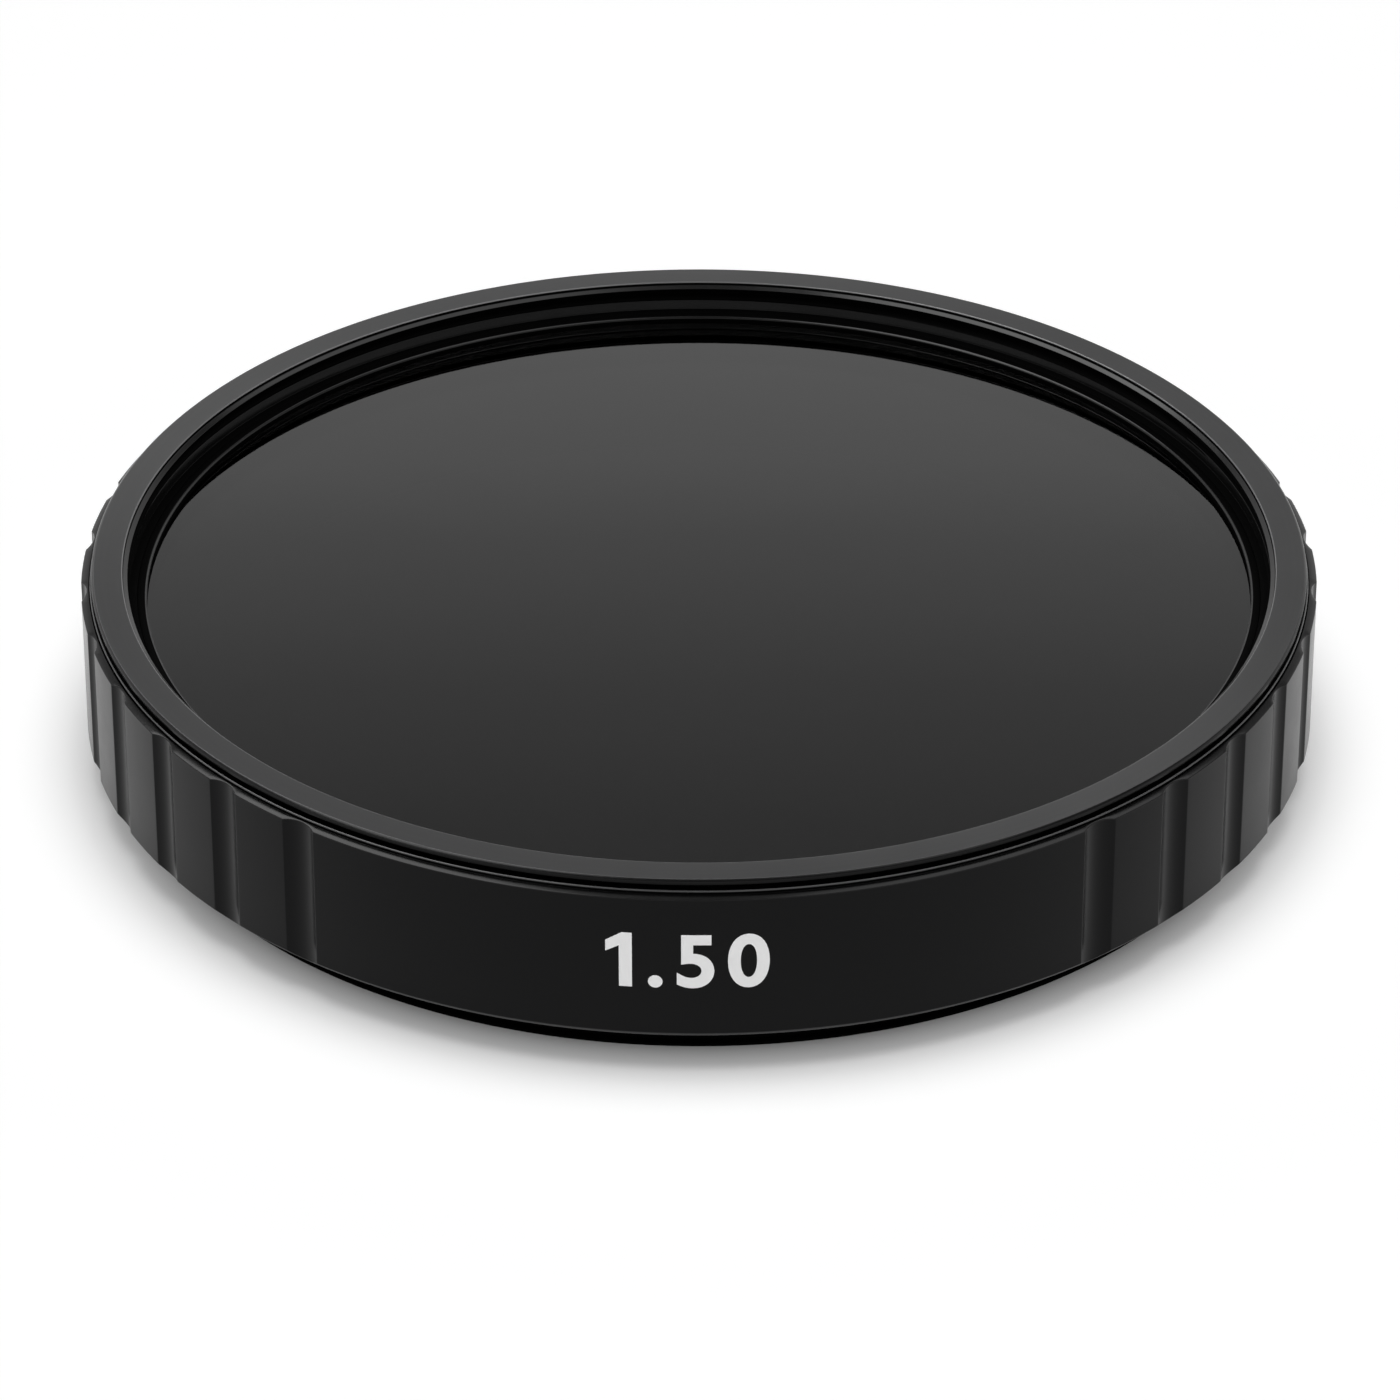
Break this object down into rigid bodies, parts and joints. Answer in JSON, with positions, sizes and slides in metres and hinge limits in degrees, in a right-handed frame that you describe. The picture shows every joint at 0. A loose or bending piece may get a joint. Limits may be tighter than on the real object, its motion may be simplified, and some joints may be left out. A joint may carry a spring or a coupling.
{
  "type": "neutral density filter",
  "caption": "Round screw-in neutral density filter: a dark glass disc in a black turned frame with a fluted grip ring, a front thread and a rear male thread.",
  "frame": {"origin": "on the optical axis, in the plane of the rear end of the male thread, which is the face the filter rests on", "axes": "+Z along the optical axis towards the front of the filter; -Y towards the middle of the smooth stretch of the grip"},
  "size_m": [0.0824, 0.0824, 0.0138],
  "materials": {
    "frame_black": "satin black anodised, turned",
    "grip_black": "satin black anodised, turned and fluted",
    "inner_matte_black": "matte black anodised",
    "nd_glass": "polished neutral grey glass"
  },
  "bodies": {
    "root": {"filter_frame": "frame_black", "grip_ring": "grip_black", "retaining_ring": "inner_matte_black", "filter_glass": "nd_glass"}
  },
  "joints": []
}
